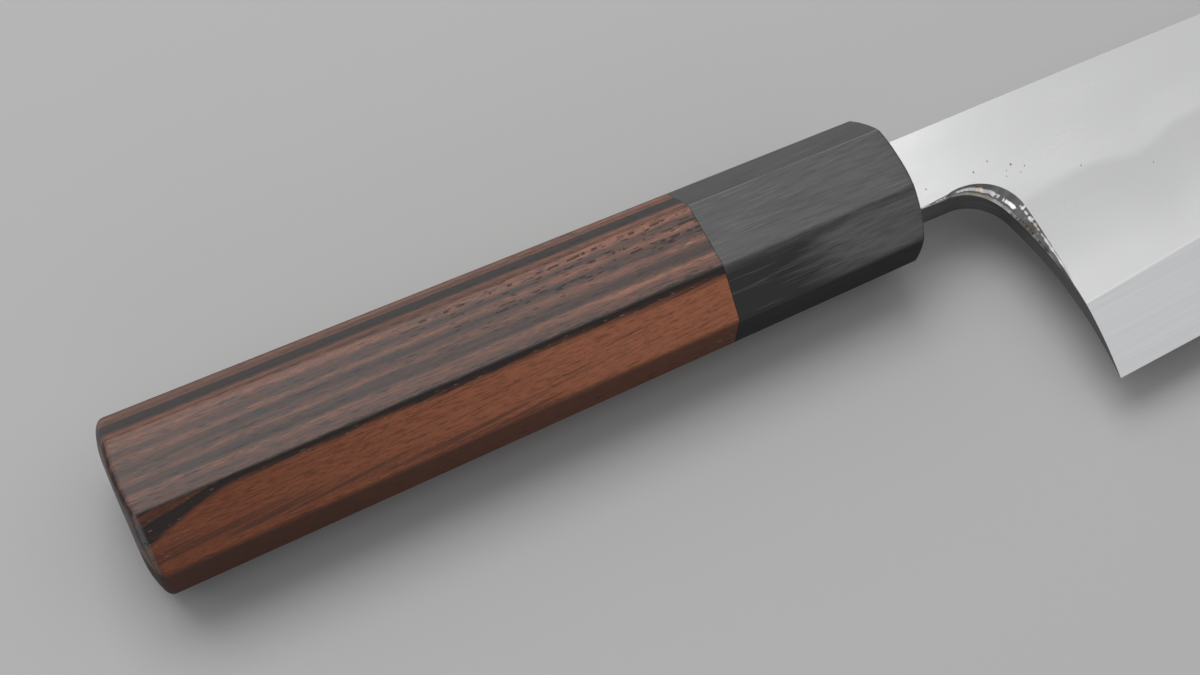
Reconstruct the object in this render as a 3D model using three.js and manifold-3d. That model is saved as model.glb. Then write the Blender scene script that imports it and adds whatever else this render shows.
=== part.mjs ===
// A deba: a heavy single-bevel kitchen knife with a horn-ferruled octagonal handle.
// Millimetres. X runs along the handle towards the tip, +Y is the spine side and +Z is the bevelled face.
// Pieces are drawn with x = 0 at the front edge of the ferrule's top facet, and y = z = 0 on the axis.
import * as THREE from "three";
import { mergeVertices } from "three/addons/utils/BufferGeometryUtils.js";
import Module from "manifold-3d";

const wasm = await Module();
wasm.setup();

// Handle: a straight taper from the front face to the butt, with 45 degree corner facets
const handleLength = 130;
const ferruleLength = 34.2;
const frontHeight = 24.1; // along Y
const frontWidth = 20.2; // along Z
const frontFacet = 6.4; // leg of a corner facet
const buttHeight = 27.4;
const buttWidth = 22.9;
const buttFacet = 7.3;
const arrisEase = 0.3; // half the flat left by easing each long arris
const mouthFlat = 8; // radius of the flat middle of the front face
const mouthCrown = 9.4; // radius at which the face falls away round it
const buttFlat = 7.5;
const buttCrown = 14;

// Inside the handle
const mouthWall = 9; // horn left in front of the dowel
const dowelDiameter = 14.4;
const dowelDepth = 30; // into the wood behind the ferrule
const tangHoleSpare = 4; // slot left free behind the tang's end
const beddingWall = 1; // compound round the tang, behind the neck
const fitGap = 0.3; // between pieces that seat in each other

// Blade outline
const bladeLength = 150; // heel corner to tip
const heelOffset = 17.4; // ferrule face to heel corner
const spineRise = 5.7; // axis to spine
const heelHeight = 49.7; // spine to heel corner
const tipDrop = 13; // spine line to tip
const spineStraight = 88; // from the heel, before the spine drops to the tip
const spineSweep = 2.2; // how late the line turns to the tip, as a power
const edgeStraight = 43;
const edgeSweep = 3.3;
const edgeAngle = 3.3; // degrees, the edge's rise from the heel
const bevelWidth = 12.4; // shinogi to edge at the heel
const shinogiStraight = 40;
const shinogiSweep = 2.6;
const shinogiAngle = 6.1;
const ridgeDrop = 18; // spine to the soft ridge on the flat, at the heel

// Blade thickness, measured from the flat back at the heel
const spineThickness = 7;
const ridgeThickness = 5.2;
const shinogiThickness = 2.75;
const edgeThickness = 0.15;
const tipThickness = 1.8; // at the spine, where the taper ends
const taperSweep = 2.2; // how late the blade thins towards the tip
const tipBlunt = 0.9; // last stretch, closed on one point
const spineEase = 0.4;
const backHollow = 0.35; // depth of the hollow-ground back
const backRimSpine = 3.5; // flat rim left along the spine
const backRimEdge = 1.2;

// Neck, choil, heel and tang
const neckDrop = 6.7; // axis to the neck's lower side
const neckSeat = 4; // neck inside the ferrule's mouth
const choilStart = 7.9; // ferrule face to where the neck turns down
const choilRadius = 7.9;
const heelRadius = 80; // hollow of the heel's face
const neckRound = 0.5; // polished rounding of the neck's lower arris
const choilRound = 1.3; // the same at the choil's foot
const roundFade = 0.015; // what is left of it where the bevel starts
const tangLength = 88; // ferrule face to the tang's end
const tangHeight = 8.4;
const tangThickness = 4.4;
const tangEndHeight = 4;
const tangEndThickness = 2.6;

// Smoothness
const bladeStations = 40;
const stationCrowding = 1.7; // how much closer the stations lie at the tip
const hollowSteps = 6;
const arcSteps = 16;
const roundSteps = 4;
const crownSteps = 6;
const circleSides = 48;

const { lerp, clamp, degToRad } = THREE.MathUtils;
const tipX = heelOffset + bladeLength;
const tipY = spineRise - tipDrop;
const heelY = spineRise - heelHeight;
const past = 5; // how far a cutter reaches past what it cuts
const crownSpare = 1; // how far a crown runs on past the widest arris

// Solids

// A closed skin over rings of points. Rings follow +X, and each runs counter-clockwise seen from +X.
function loft(rings, apex) {
  const count = rings[0].length;
  const points = rings.flat();
  const faces = [];
  for (let i = 0; i + 1 < rings.length; i++) {
    for (let j = 0; j < count; j++) {
      const a = i * count + j;
      const b = i * count + ((j + 1) % count);
      faces.push(a, b, b + count, a, b + count, a + count);
    }
  }
  const cap = (ring) => THREE.ShapeUtils.triangulateShape(ring.map((p) => new THREE.Vector2(p.y, p.z)), []);
  for (const [a, b, c] of cap(rings[0])) faces.push(c, b, a);
  const last = (rings.length - 1) * count;
  if (apex) {
    points.push(apex);
    for (let j = 0; j < count; j++) faces.push(last + j, last + ((j + 1) % count), points.length - 1);
  } else {
    for (const [a, b, c] of cap(rings.at(-1))) faces.push(last + a, last + b, last + c);
  }
  return new THREE.BufferGeometry().setFromPoints(points).setIndex(faces);
}

function solid(geometry) {
  const bare = new THREE.BufferGeometry();
  bare.setAttribute("position", geometry.getAttribute("position"));
  bare.setIndex(geometry.getIndex());
  const merged = mergeVertices(bare, 1e-4);
  const vertProperties = merged.getAttribute("position").array;
  const triVerts = new Uint32Array(merged.getIndex().array);
  return new wasm.Manifold(new wasm.Mesh({ numProp: 3, vertProperties, triVerts }));
}

function piece(name, body, look) {
  const { vertProperties, triVerts } = body.getMesh();
  const skin = new THREE.BufferGeometry();
  skin.setAttribute("position", new THREE.BufferAttribute(vertProperties, 3));
  skin.setIndex(new THREE.BufferAttribute(triVerts, 1));
  const geometry = skin.toNonIndexed();
  geometry.computeVertexNormals();
  const mesh = new THREE.Mesh(geometry, new THREE.MeshStandardMaterial(look));
  mesh.name = name;
  return mesh;
}

// A round bar along X between two places
function rod(diameter, fromX, toX) {
  const bar = new THREE.CylinderGeometry(diameter / 2, diameter / 2, toX - fromX, circleSides);
  return solid(bar.rotateZ(Math.PI / 2).translate((fromX + toX) / 2, 0, 0));
}

// Handle sections

// Half the octagon's height and width at x, and the leg of its corner facets
function handleSize(x) {
  const back = -x / handleLength;
  const pairs = [[frontHeight / 2, buttHeight / 2], [frontWidth / 2, buttWidth / 2], [frontFacet, buttFacet]];
  return pairs.map(([front, butt]) => lerp(front, butt, back));
}

// The octagon at x, with its eight arrises eased
function handleRing(x) {
  const [h, w, leg] = handleSize(x);
  const corners = [[h, leg - w], [h, w - leg], [h - leg, w], [leg - h, w]];
  const around = corners.concat(corners.map(([y, z]) => [-y, -z]));
  return around.flatMap(([y, z], i) => {
    const corner = new THREE.Vector3(x, y, z);
    const [before, after] = [around.at(i - 1), around[(i + 1) % around.length]];
    return [before, after].map(([ny, nz]) => {
      const along = new THREE.Vector3(x, ny, nz).sub(corner).setLength(arrisEase);
      return along.add(corner);
    });
  });
}

const handlePrism = (fromX, toX) => solid(loft([handleRing(fromX), handleRing(toX)]));

function circleRing(x, radius) {
  return Array.from({ length: circleSides }, (_, i) => {
    const turn = (i / circleSides) * 2 * Math.PI;
    return new THREE.Vector3(x, radius * Math.cos(turn), radius * Math.sin(turn));
  });
}

// How far a crowned end has fallen back at a distance from the axis
const crownFall = (flat, crown, distance) => crown - Math.sqrt(crown ** 2 - (distance - flat) ** 2);

// A round body wider than the handle, with one end flat in the middle and crowned round it.
// The facets that it cuts off end in shallow arcs.
function crownedBody(endX, otherX, flat, crown) {
  const [h, w, leg] = handleSize(endX);
  const inwards = Math.sign(otherX - endX);
  const lastTurn = Math.asin(Math.min(1, (Math.hypot(h, w - leg) + crownSpare - flat) / crown));
  const rings = Array.from({ length: crownSteps + 1 }, (_, i) => {
    const turn = (i / crownSteps) * lastTurn;
    return circleRing(endX + inwards * crown * (1 - Math.cos(turn)), flat + crown * Math.sin(turn));
  });
  const wide = frontHeight + buttHeight; // clear of every arris
  const fullX = rings.at(-1)[0].x;
  rings.push(circleRing(fullX + inwards * fitGap, wide), circleRing(otherX, wide));
  return solid(loft(inwards > 0 ? rings : rings.reverse()));
}

// Blade lines

// Each line runs straight from the heel at its angle, and then sweeps to the tip.
const spineLine = [spineRise, 0, spineStraight, spineSweep];
const shinogiLine = [heelY + bevelWidth, shinogiAngle, shinogiStraight, shinogiSweep];
const edgeLine = [heelY, edgeAngle, edgeStraight, edgeSweep];

function lineY([atHeel, angle, straight, sweep], x) {
  const rise = Math.tan(degToRad(angle));
  const fromHeel = x - heelOffset;
  const bend = Math.max(0, (fromHeel - straight) / (bladeLength - straight));
  const toTip = tipY - (atHeel + rise * bladeLength);
  return atHeel + rise * fromHeel + toTip * bend ** sweep;
}

// The bevelled face's corners at x, from spine to edge, as [y, height above the back]
function faceCorners(x) {
  const along = clamp((x - heelOffset) / bladeLength, 0, 1);
  const taper = lerp(1, tipThickness / spineThickness, along ** taperSweep);
  const [spine, shinogi, edge] = [spineLine, shinogiLine, edgeLine].map((line) => lineY(line, x));
  const ridge = lerp(spine, shinogi, ridgeDrop / (heelHeight - bevelWidth));
  const bevelShare = Math.min(1, (shinogi - edge) / bevelWidth);
  return [
    [spine, spineThickness * taper],
    [ridge, ridgeThickness * taper],
    [shinogi, lerp(edgeThickness, shinogiThickness * taper, bevelShare)],
    [edge, edgeThickness],
  ];
}

function thicknessAt(x, y) {
  const corners = faceCorners(x);
  const next = Math.max(1, corners.findIndex(([cornerY], i) => i === corners.length - 1 || cornerY < y));
  const [[fromY, fromT], [toY, toT]] = [corners[next - 1], corners[next]];
  return lerp(fromT, toT, (fromY - y) / (fromY - toY));
}

// The back lies below the axis so that the neck is centred on it.
const neckThickness = thicknessAt(0, -neckDrop);
const backZ = -(spineThickness + neckThickness) / 4;

function bladeRing(x) {
  const at = (y, t) => new THREE.Vector3(x, y, backZ + t);
  const corners = faceCorners(x);
  const [[spine, thick], , , [edge]] = corners;
  const slope = (thick - corners[1][1]) / (spine - corners[1][0]);
  const narrow = Math.min(1, (2 * (spine - edge)) / heelHeight);
  const rimEdge = edge + backRimEdge * narrow;
  const rimSpine = spine - backRimSpine * narrow;
  const depth = backHollow * narrow * THREE.MathUtils.smoothstep(x, choilStart, heelOffset + choilRadius);
  const hollow = Array.from({ length: hollowSteps - 1 }, (_, i) => {
    const across = (i + 1) / hollowSteps;
    return at(lerp(rimEdge, rimSpine, across), 4 * depth * across * (1 - across));
  });
  return [
    at(spine, spineEase),
    at(spine, thick - spineEase),
    at(spine - spineEase, thick - slope * spineEase),
    ...corners.slice(1).map(([y, t]) => at(y, t)),
    at(edge, 0),
    at(rimEdge, 0),
    ...hollow,
    at(rimSpine, 0),
    at(spine - spineEase, 0),
  ];
}

// The neck's section at x, grown by a gap on each side
function neckRing(x, gap) {
  return [
    new THREE.Vector3(x, spineRise + gap, backZ - gap),
    new THREE.Vector3(x, spineRise + gap, backZ + spineThickness + gap),
    new THREE.Vector3(x, -neckDrop - gap, backZ + neckThickness + gap),
    new THREE.Vector3(x, -neckDrop - gap, backZ - gap),
  ];
}

// The tang's section at x, tapering from the neck's shoulder to its end
function tangRing(x, gap) {
  const back = (-x - neckSeat) / (tangLength - neckSeat);
  const h = lerp(tangHeight, tangEndHeight, back) / 2 + gap;
  const t = lerp(tangThickness, tangEndThickness, back) / 2 + gap;
  const middle = (spineRise - neckDrop) / 2;
  return [[h, -t], [h, t], [-h, t], [-h, -t]].map(([y, z]) => new THREE.Vector3(x, middle + y, z));
}

const tang = (fromX, toX, gap) => solid(loft([tangRing(fromX, gap), tangRing(toX, gap)]));
const neckBlock = (fromX, toX, gap) => solid(loft([neckRing(fromX, gap), neckRing(toX, gap)]));

// Choil and heel: a small arc under the neck runs into a long hollow arc that ends on the heel corner.

const choilCentre = new THREE.Vector2(choilStart, -neckDrop - choilRadius);
const heelCorner = new THREE.Vector2(heelOffset, heelY);
const toHeel = heelCorner.clone().sub(choilCentre);
const centreGap = heelRadius - choilRadius;
const reach = (heelRadius ** 2 - centreGap ** 2 - toHeel.lengthSq()) / (2 * centreGap);
const joinAngle = toHeel.angle() - 2 * Math.PI + Math.acos(reach / toHeel.length());
const heelCentre = new THREE.Vector2(Math.cos(joinAngle), Math.sin(joinAngle))
  .multiplyScalar(-centreGap)
  .add(choilCentre);
const cornerAngle = Math.asin((heelY - heelCentre.y) / heelRadius);

function choilCutter() {
  const left = -neckSeat - past;
  const outline = new THREE.Shape();
  outline.moveTo(left, -neckDrop);
  outline.lineTo(choilStart, -neckDrop);
  outline.absarc(choilCentre.x, choilCentre.y, choilRadius, Math.PI / 2, joinAngle, true);
  outline.absarc(heelCentre.x, heelCentre.y, heelRadius, joinAngle, cornerAngle, true);
  outline.lineTo(heelOffset, heelY - past);
  outline.lineTo(left, heelY - past);
  const depth = 2 * (spineThickness + past);
  const block = new THREE.ExtrudeGeometry(outline, { depth, bevelEnabled: false, curveSegments: arcSteps });
  return solid(block.translate(0, 0, -depth / 2));
}

// The polished rounding follows the neck and the choil and fades out where the bevel starts.
function choilRounding() {
  const stops = [];
  const stop = (centre, radius, angle, size) => {
    const into = new THREE.Vector2(Math.cos(angle), Math.sin(angle));
    stops.push({ into, size, at: into.clone().multiplyScalar(radius).add(centre) });
  };
  const neckStart = new THREE.Vector2(-neckSeat, choilCentre.y);
  stop(neckStart, choilRadius, Math.PI / 2, neckRound);
  for (let i = 0; i <= arcSteps; i++) {
    const along = i / arcSteps;
    stop(choilCentre, choilRadius, lerp(Math.PI / 2, joinAngle, along), lerp(neckRound, choilRound, along));
  }
  const fadeAngle = Math.asin((heelY + bevelWidth - heelCentre.y) / heelRadius);
  for (let i = 1; i <= arcSteps; i++) {
    const left = 1 - i / arcSteps;
    const size = Math.max(choilRound * left ** 2, roundFade);
    stop(heelCentre, heelRadius, lerp(fadeAngle, joinAngle, left), size);
  }
  return solid(loft(stops.map(roundingRing)));
}

// What the rounding takes off at one stop: the corner outside a quarter circle
function roundingRing({ at, into, size }) {
  const point = (inset, z) => new THREE.Vector3(at.x + into.x * inset, at.y + into.y * inset, z);
  const faceZ = (inset) => backZ + thicknessAt(at.x + into.x * inset, at.y + into.y * inset);
  const arc = Array.from({ length: roundSteps + 1 }, (_, i) => {
    const turn = (i / roundSteps) * (Math.PI / 2);
    const inset = size * (1 - Math.cos(turn));
    return point(inset, faceZ(inset) - size * (1 - Math.sin(turn)));
  });
  const above = [point(size, faceZ(size) + size), point(-size, faceZ(0) + size)];
  return [...arc, ...above, point(-size, faceZ(0) - size)];
}

// Pieces

function blade() {
  const rings = Array.from({ length: bladeStations + 1 }, (_, i) => {
    const along = 1 - (1 - i / bladeStations) ** stationCrowding;
    return bladeRing(lerp(-neckSeat, tipX - tipBlunt, along));
  });
  const plate = solid(loft(rings, new THREE.Vector3(tipX, tipY, backZ + edgeThickness)));
  return plate
    .subtract(choilCutter())
    .subtract(choilRounding())
    .add(tang(-tangLength, fitGap - neckSeat, 0));
}

function hornFerrule() {
  const faceX = crownFall(mouthFlat, mouthCrown, frontWidth / 2);
  return handlePrism(-ferruleLength, faceX + past)
    .intersect(crownedBody(faceX, -handleLength, mouthFlat, mouthCrown))
    .subtract(rod(dowelDiameter + 2 * fitGap, -ferruleLength - past, -mouthWall))
    .subtract(neckBlock(-neckSeat - fitGap, past, fitGap))
    .subtract(tang(-mouthWall - past, -neckSeat, beddingWall + 2 * fitGap));
}

function handleBody() {
  const dowelEnd = -ferruleLength - dowelDepth;
  return handlePrism(-handleLength - past, -ferruleLength)
    .intersect(crownedBody(-handleLength, past, buttFlat, buttCrown))
    .subtract(rod(dowelDiameter + 2 * fitGap, dowelEnd - fitGap, past - ferruleLength))
    .subtract(tang(-tangLength - tangHoleSpare, dowelEnd, fitGap));
}

function coreDowel() {
  const [backX, frontX] = [-ferruleLength - dowelDepth, -mouthWall - fitGap];
  return rod(dowelDiameter, backX, frontX).subtract(tang(backX - past, frontX + past, fitGap));
}

function tangBedding() {
  const [backX, frontX] = [-mouthWall, -neckSeat - fitGap];
  return tang(backX, frontX, beddingWall + fitGap).subtract(tang(backX - past, frontX + past, fitGap));
}

const polishedSteel = { color: 0xcfd0d2, roughness: 0.22, metalness: 1 };
const blackHorn = { color: 0x1b1a1a, roughness: 0.38, metalness: 0 };
const rosewood = { color: 0x4a2c22, roughness: 0.5, metalness: 0 };
const magnolia = { color: 0xcdb68a, roughness: 0.7, metalness: 0 };
const compound = { color: 0x3a3530, roughness: 0.6, metalness: 0 };

const knife = new THREE.Group();
knife.add(
  piece("blade", blade(), polishedSteel),
  piece("horn_ferrule", hornFerrule(), blackHorn),
  piece("handle_body", handleBody(), rosewood),
  piece("core_dowel", coreDowel(), magnolia),
  piece("tang_bedding", tangBedding(), compound),
);

// The part's origin is the bottom centre of the box round the whole knife.
const box = new THREE.Box3().setFromObject(knife);
const middle = box.getCenter(new THREE.Vector3());
knife.position.set(-middle.x, -middle.y, -box.min.z);

const part = new THREE.Group();
part.add(knife);

export default part;
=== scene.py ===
import math

import bmesh
import bpy
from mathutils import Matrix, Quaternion, Vector


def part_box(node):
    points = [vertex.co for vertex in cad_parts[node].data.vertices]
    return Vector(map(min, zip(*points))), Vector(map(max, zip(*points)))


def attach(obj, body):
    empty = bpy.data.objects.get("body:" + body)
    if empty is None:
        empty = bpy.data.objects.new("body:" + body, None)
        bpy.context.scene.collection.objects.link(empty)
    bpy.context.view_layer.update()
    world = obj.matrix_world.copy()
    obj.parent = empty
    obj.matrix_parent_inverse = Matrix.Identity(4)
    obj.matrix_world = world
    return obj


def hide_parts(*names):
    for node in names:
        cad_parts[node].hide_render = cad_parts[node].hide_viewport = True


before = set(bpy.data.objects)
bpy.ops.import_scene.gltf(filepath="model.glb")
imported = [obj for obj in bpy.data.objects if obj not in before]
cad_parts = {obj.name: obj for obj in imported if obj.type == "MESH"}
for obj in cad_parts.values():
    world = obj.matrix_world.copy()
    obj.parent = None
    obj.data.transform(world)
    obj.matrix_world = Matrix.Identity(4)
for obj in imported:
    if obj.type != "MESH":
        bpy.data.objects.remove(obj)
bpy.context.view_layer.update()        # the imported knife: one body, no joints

scene = bpy.context.scene
mm = 0.001

# Both ends of the handle: flat in the middle and crowned round it, so that the facets end in shallow arcs
ends = {
    "mouthFlat": 8.0,       # radius of the flat
    "mouthCrown": 9.4,      # radius at which the rest falls away
    "mouthHalf": 10.1,      # from the axis to the upper facet
    "mouthEase": 0.4,
    "mouthRun": 2.2,        # how far the end reaches along the facets
    "buttFlat": 7.5,
    "buttCrown": 14.0,
    "buttEase": 0.95,
    "buttRun": 3.4,
}


def crownFall(flat, crown, distance):
    past = max(0.0, distance - flat)
    return crown - math.sqrt(crown * crown - past * past)


# Everything below is in millimetres from the axis at the front edge of the ferrule's upper facet:
# x along the handle to the tip, y to the spine, z out of the bevelled face.
bladeLow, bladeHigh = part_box("blade")
hornLow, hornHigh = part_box("horn_ferrule")
woodLow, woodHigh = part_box("handle_body")
mouthFace = crownFall(ends["mouthFlat"], ends["mouthCrown"], ends["mouthHalf"])
mouth = (woodLow + woodHigh) / 2
mouth.x = hornHigh.x - mouthFace * mm


def spot(x, y, z):
    return mouth + Vector((x, y, z)) * mm


def fromMouth(corner):
    return (corner - mouth) / mm


def lerp(a, b, share):
    return a + (b - a) * share


def clamp(value, low=0.0, high=1.0):
    return max(low, min(high, value))


def smooth(value, low, high):
    share = clamp((value - low) / (high - low))
    return share * share * (3 - 2 * share)


# Meshes

def loft(rings, apexStart=None, apexEnd=None):
    # Closed skin over rings of points that follow +x, each counter-clockwise seen from +x
    count = len(rings[0])
    points = [p for ring in rings for p in ring]
    faces = []
    for i in range(len(rings) - 1):
        for j in range(count):
            a = i * count + j
            b = i * count + (j + 1) % count
            faces.append((a, b, b + count, a + count))
    last = (len(rings) - 1) * count
    if apexStart:
        points.append(apexStart)
        faces += [((j + 1) % count, j, len(points) - 1) for j in range(count)]
    else:
        faces.append(tuple(reversed(range(count))))
    if apexEnd:
        points.append(apexEnd)
        faces += [(last + j, last + (j + 1) % count, len(points) - 1) for j in range(count)]
    else:
        faces.append(tuple(range(last, last + count)))
    return points, faces


def makePiece(name, points, faces, finishes=()):
    mesh = bpy.data.meshes.new(name)
    mesh.from_pydata([spot(*p) for p in points], [], faces)
    for finish in finishes:
        mesh.materials.append(finish)
    piece = bpy.data.objects.new(name, mesh)
    scene.collection.objects.link(piece)
    return piece


def cutAway(piece, cutter):
    # Takes the cutter's volume off the piece for good, and throws the cutter away
    trim = piece.modifiers.new("trim", "BOOLEAN")
    trim.operation = "DIFFERENCE"
    trim.solver = "MANIFOLD"
    trim.object = cutter
    shape = piece.evaluated_get(bpy.context.evaluated_depsgraph_get())
    mesh = bpy.data.meshes.new_from_object(shape)
    piece.modifiers.remove(trim)
    print(piece.name, "cut by", cutter.name, len(mesh.polygons), "faces left")
    old = piece.data
    piece.data = mesh
    mesh.name = piece.name
    bpy.data.meshes.remove(old)
    spent = cutter.data
    bpy.data.objects.remove(cutter)
    bpy.data.meshes.remove(spent)


def shadeEdges(piece, degrees):
    # Smooth faces, with creases at steep edges and where one finish meets another
    shape = bmesh.new()
    shape.from_mesh(piece.data)
    bmesh.ops.remove_doubles(shape, verts=shape.verts, dist=1e-7)
    for face in shape.faces:
        face.smooth = True
    for edge in shape.edges:
        sides = edge.link_faces
        if len(sides) == 2:
            turned = edge.calc_face_angle(0) > math.radians(degrees)
            edge.smooth = not turned and sides[0].material_index == sides[1].material_index
    shape.to_mesh(piece.data)
    shape.free()


def standFor(piece, node):
    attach(piece, "root")
    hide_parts(node)


# Shader maths

class Wire:
    # A socket in a material's tree: sums of wires add Math nodes
    def __init__(self, tree, socket=None):
        self.tree = tree
        self.socket = socket

    def plug(self, target, value):
        if isinstance(value, Wire):
            self.tree.links.new(value.socket, target)
        elif target.type == "RGBA":
            target.default_value = (*value, 1)
        else:
            target.default_value = value

    def node(self, kind, settings=None, sockets=None, output=0):
        made = self.tree.nodes.new("ShaderNode" + kind)
        for name, value in (settings or {}).items():
            if name == "stops":
                self.setStops(made.color_ramp.elements, value)
            else:
                setattr(made, name, value)
        for name, value in (sockets or {}).items():
            self.plug(made.inputs[name], value)
        return Wire(self.tree, made.outputs[output])

    def setStops(self, elements, stops):
        elements.remove(elements[1])
        elements[0].position = stops[0][0]
        elements[0].color = (*[stops[0][1]] * 3, 1)
        for place, value in stops[1:]:
            elements.new(place).color = (value, value, value, 1)

    def math(self, operation, first, second):
        return self.node("Math", {"operation": operation}, {0: first, 1: second})

    def __add__(self, other):
        return self.math("ADD", self, other)

    def __radd__(self, other):
        return self.math("ADD", other, self)

    def __sub__(self, other):
        return self.math("SUBTRACT", self, other)

    def __rsub__(self, other):
        return self.math("SUBTRACT", other, self)

    def __mul__(self, other):
        return self.math("MULTIPLY", self, other)

    def __rmul__(self, other):
        return self.math("MULTIPLY", other, self)

    def __truediv__(self, other):
        return self.math("DIVIDE", self, other)

    def __rtruediv__(self, other):
        return self.math("DIVIDE", other, self)

    # Short forms of node()
    def noise(self, scales, detail=2.0, roughness=0.5, shift=0.0):
        # self is a place in millimetres, scales how often the noise turns over per millimetre
        stretched = self.node("VectorMath", {"operation": "MULTIPLY_ADD"}, {
            0: self, 1: scales, 2: (shift,) * 3})
        return self.node("TexNoise", None, {
            "Vector": stretched, "Scale": 1.0, "Detail": detail, "Roughness": roughness})

    def step(self, low, high):
        return self.node("MapRange", {"interpolation_type": "SMOOTHSTEP"}, {
            "Value": self, "From Min": low, "From Max": high})

    def band(self, low, high, softLow, softHigh):
        # 1 between low and high, which may be wires, and 0 outside
        return (self - low).step(-softLow, softLow) * (self - high).step(softHigh, 0 - softHigh)

    def mix(self, first, second):
        # self is the share of the second colour
        return self.node("Mix", {"data_type": "RGBA"}, {0: self, 6: first, 7: second}, 2)

    def split(self):
        return [self.node("SeparateXYZ", None, {0: self}, axis) for axis in range(3)]

    def join(self, x, y, z):
        return self.node("CombineXYZ", None, {0: x, 1: y, 2: z})

    def bump(self, distance):
        return self.node("Bump", None, {"Height": self, "Distance": distance, "Strength": 1.0})

    def limit(self):
        return self.node("Clamp", None, {"Value": self})


def startFinish(name, **fixed):
    # A material, its place in knife millimetres and its shader, with what is the same all over
    material = bpy.data.materials.new(name)
    material.use_nodes = True
    shader = material.node_tree.nodes["Principled BSDF"]
    for socket, value in fixed.items():
        shader.inputs[socket.replace("_", " ")].default_value = value
    wire = Wire(material.node_tree)
    here = wire.node("TexCoord", None, None, "Object")
    moved = wire.node("VectorMath", {"operation": "SUBTRACT"}, {0: here, 1: tuple(mouth)})
    place = wire.node("VectorMath", {"operation": "SCALE"}, {0: moved, "Scale": 1 / mm})
    return material, place, shader


def feed(place, shader, **values):
    for socket, value in values.items():
        place.plug(shader.inputs[socket.replace("_", " ")], value)


# Handle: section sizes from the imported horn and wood, facets and easing as made

handle = {
    "jointX": fromMouth(hornLow).x,
    "buttX": fromMouth(woodLow).x,
    "jointSize": (hornHigh - hornLow) / mm,
    "buttSize": (woodHigh - woodLow) / mm,
    "frontFacet": 6.4,      # leg of a corner facet at the ferrule's front
    "buttFacet": 7.3,
    "arrisEase": 0.36,
    "swell": 0.05,          # how much each facet is crowned across
    "jointEase": 0.07,      # broken edges where horn meets wood
    "crease": 40,           # degrees past which an edge stays crisp
}


def handleHalf(axis, x):
    # Half the handle's size across at x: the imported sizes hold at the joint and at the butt's flats
    atJoint, atButt = handle["jointSize"][axis] / 2, handle["buttSize"][axis] / 2
    flatEnd = handle["buttX"] + crownFall(ends["buttFlat"], ends["buttCrown"], atButt)
    return lerp(atJoint, atButt, (x - handle["jointX"]) / (flatEnd - handle["jointX"]))


def handleRing(x, inset=0.0):
    inset += handle["swell"]
    h, w = handleHalf(1, x) - inset, handleHalf(2, x) - inset
    leg = lerp(handle["frontFacet"], handle["buttFacet"], x / handle["buttX"])
    leg -= inset * (2 - math.sqrt(2))
    corners = [Vector((h, leg - w)), Vector((h, w - leg)), Vector((h - leg, w)), Vector((leg - h, w))]
    corners += [-c for c in corners]
    ring = []
    for i, corner in enumerate(corners):
        before, after = corners[i - 1], corners[(i + 1) % 8]
        start = corner + (before - corner).normalized() * handle["arrisEase"]
        end = corner + (after - corner).normalized() * handle["arrisEase"]
        for step in range(5):       # the eased arris
            t = step / 4
            ring.append(start.lerp(corner, t).lerp(corner.lerp(end, t), t))
        nextStart = after + (corner - after).normalized() * handle["arrisEase"]
        run = nextStart - end
        out = Vector((run.y, -run.x)).normalized()
        for step in range(1, 8):       # the facet's swell
            t = step / 8
            ring.append(end + run * t + out * handle["swell"] * 4 * t * (1 - t))
    return [(x, p.x, p.y) for p in ring]


def crownedEnd(endX, inwards, flat, crown, ease):
    # Rings from the facets over the eased rim and up the crown to its flat
    def onCrown(y, z):
        return endX + inwards * crownFall(flat, crown, math.hypot(y, z))

    rim = []
    for i, (_, y, z) in enumerate(handleRing(endX)):
        x = onCrown(y, z)
        rim.append(Vector(handleRing(x)[i]))
    rings = []
    for step in range(6):       # the eased rim
        t = step / 5
        ring = []
        for corner in rim:
            start = corner + Vector((inwards * ease, 0, 0))
            share = 1 - ease / math.hypot(corner.y, corner.z)
            y, z = corner.y * share, corner.z * share
            end = Vector((onCrown(y, z), y, z))
            ring.append(tuple(start.lerp(corner, t).lerp(corner.lerp(end, t), t)))
        rings.append(ring)
    for share in (0.94, 0.88, 0.81, 0.74, 0.66, 0.57):       # the crown
        ring = []
        for corner in rim:
            y, z = corner.y * share, corner.z * share
            ring.append((onCrown(y, z), y, z))
        rings.append(ring)
    return rings


# Neck, tang and bores

tang = {
    "startX": -4.0,         # where the neck ends inside the ferrule
    "endX": fromMouth(bladeLow).x,
    "startSize": (8.4, 4.4),
    "endSize": (4.0, 2.6),
    "middleY": -0.5,
    "clearance": 0.3,
    "beddingWall": 1.6,     # compound and its clearances, round the tang behind the neck
    "beddingX": -9.0,
    "holeSpare": 4.0,
}
neck = {"spineY": fromMouth(bladeHigh).y, "lowerY": -6.7}
dowelLow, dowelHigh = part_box("core_dowel")
boreRadius = (dowelHigh.y - dowelLow.y) / mm / 2 + tang["clearance"]
dowelBackX = fromMouth(dowelLow).x


def tangRing(x, gap):
    back = (x - tang["startX"]) / (tang["endX"] - tang["startX"])
    h = lerp(tang["startSize"][0], tang["endSize"][0], back) / 2 + gap
    t = lerp(tang["startSize"][1], tang["endSize"][1], back) / 2 + gap
    return [(x, tang["middleY"] + y, z) for y, z in ((h, -t), (h, t), (-h, t), (-h, -t))]


def tangCutter(fromX, toX, gap):
    return makePiece("tangCutter", *loft([tangRing(fromX, gap), tangRing(toX, gap)]))


def boreCutter(fromX, toX):
    sides = 64
    turns = [2 * math.pi * i / sides for i in range(sides)]
    circle = [(boreRadius * math.cos(t), boreRadius * math.sin(t)) for t in turns]
    return makePiece("boreCutter", *loft([[(x, y, z) for y, z in circle] for x in (fromX, toX)]))


# Blade: outline and thickness

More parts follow.
